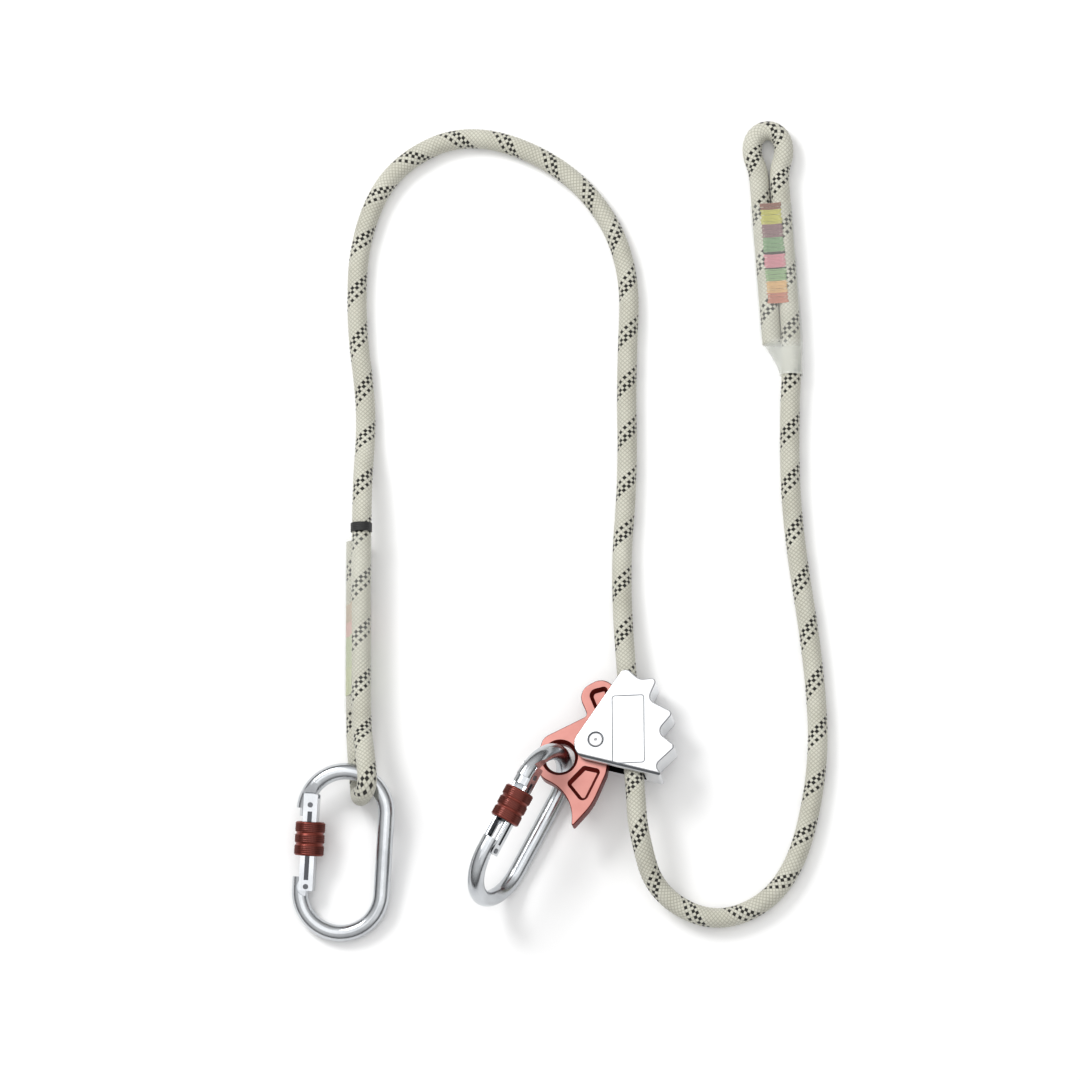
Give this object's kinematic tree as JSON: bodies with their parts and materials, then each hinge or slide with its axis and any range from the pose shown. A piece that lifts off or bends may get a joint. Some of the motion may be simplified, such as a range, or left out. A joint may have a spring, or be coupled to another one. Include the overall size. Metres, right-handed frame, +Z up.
{
  "type": "rope grab lanyard",
  "caption": "Adjustable work positioning lanyard: braided rope with sewn eyes, a cam rope grab that slides along it, and oval screw gate connectors.",
  "frame": {"origin": "middle of the metal hardware (grab and both connectors) on the floor that the lanyard lies on", "axes": "+Z up from the floor, +Y along the lanyard's long legs towards the upper eye, +X across from the connector side to the upper eye side"},
  "size_m": [0.3257, 0.5036, 0.0577],
  "materials": {
    "rope_sheath": "braided sheath, ecru with black tracer yarns",
    "clear_sleeve": "clear shrink tube",
    "stitching": "many-coloured thread",
    "black_band": "satin binding",
    "silver_body": "bright anodised",
    "red_cam": "red anodised",
    "bronze": "sintered",
    "red_screw": "dark red anodised, knurled",
    "spring_steel": "drawn wire",
    "turned_steel": "turned",
    "plated_steel": "bright zinc plate over polished steel"
  },
  "bodies": {
    "lanyard": {"rope": "rope_sheath", "lower_clear_sleeve": "clear_sleeve", "lower_stitching": "stitching", "lower_band": "black_band", "upper_clear_sleeve": "clear_sleeve", "upper_stitching": "stitching"},
    "grab": {"grab_body": "silver_body", "cam_axle": "turned_steel", "cam_washers": "turned_steel", "cam_spring": "spring_steel"},
    "cam": {"cam_lever": "red_cam", "cam_bush": "bronze"},
    "connector_one": {"connector_one_frame": "plated_steel"},
    "gate_one": {"connector_one_gate": "plated_steel", "connector_one_gate_hinge_rivet": "turned_steel", "connector_one_gate_latch_rivet": "turned_steel", "connector_one_gate_spring": "spring_steel", "connector_one_gate_plunger": "turned_steel", "connector_one_gate_spring_stop": "turned_steel"},
    "screw_one": {"connector_one_screw_sleeve": "red_screw"},
    "connector_two": {"connector_two_frame": "plated_steel"},
    "gate_two": {"connector_two_gate": "plated_steel", "connector_two_gate_hinge_rivet": "turned_steel", "connector_two_gate_latch_rivet": "turned_steel", "connector_two_gate_spring": "spring_steel", "connector_two_gate_plunger": "turned_steel", "connector_two_gate_spring_stop": "turned_steel"},
    "screw_two": {"connector_two_screw_sleeve": "red_screw"}
  },
  "joints": [
    {"name": "grab_slide", "type": "slide", "parent": "lanyard", "child": "grab", "axis": [-0.0829, 0.9868, -0.1392], "range_m": [-0.026, 0.008]},
    {"name": "cam_release", "type": "hinge", "parent": "grab", "child": "cam", "pos_m": [0.07037, 0.03578, 0.021], "axis": [-0.0116, 0.1387, 0.9903], "range_deg": [0, 15], "stiffness_Nm_per_rad": 0.06, "springref_deg": -14.32},
    {"name": "connector_two_swing", "type": "hinge", "parent": "cam", "child": "connector_two", "pos_m": [0.04908, 0.02763, 0.02189], "axis": [0, 0, 1], "range_deg": [-30, 4]},
    {"name": "gate_two_open", "type": "hinge", "parent": "connector_two", "child": "gate_two", "pos_m": [0.00814, -0.02973, 0.04875], "axis": [0.8366, -0.4523, 0.309], "range_deg": [-17, 0], "stiffness_Nm_per_rad": 0.03, "springref_deg": 14.32},
    {"name": "screw_two_travel", "type": "slide", "parent": "gate_two", "child": "screw_two", "axis": [0.4756, 0.8796, 0], "range_m": [-0.005, 0.0075]},
    {"name": "connector_one_lift", "type": "hinge", "parent": "lanyard", "child": "connector_one", "pos_m": [-0.0721, 0.0194, 0.0198], "axis": [-0.8825, 0.4662, 0.0618], "range_deg": [0, 60]},
    {"name": "gate_one_open", "type": "hinge", "parent": "connector_one", "child": "gate_one", "pos_m": [-0.10836, -0.04604, 0.00917], "axis": [-0.0121, -0.1538, 0.988], "range_deg": [-17, 0], "stiffness_Nm_per_rad": 0.03, "springref_deg": 14.32},
    {"name": "screw_one_travel", "type": "slide", "parent": "gate_one", "child": "screw_one", "axis": [0.0775, 0.985, 0.1543], "range_m": [-0.005, 0.0075]}
  ]
}
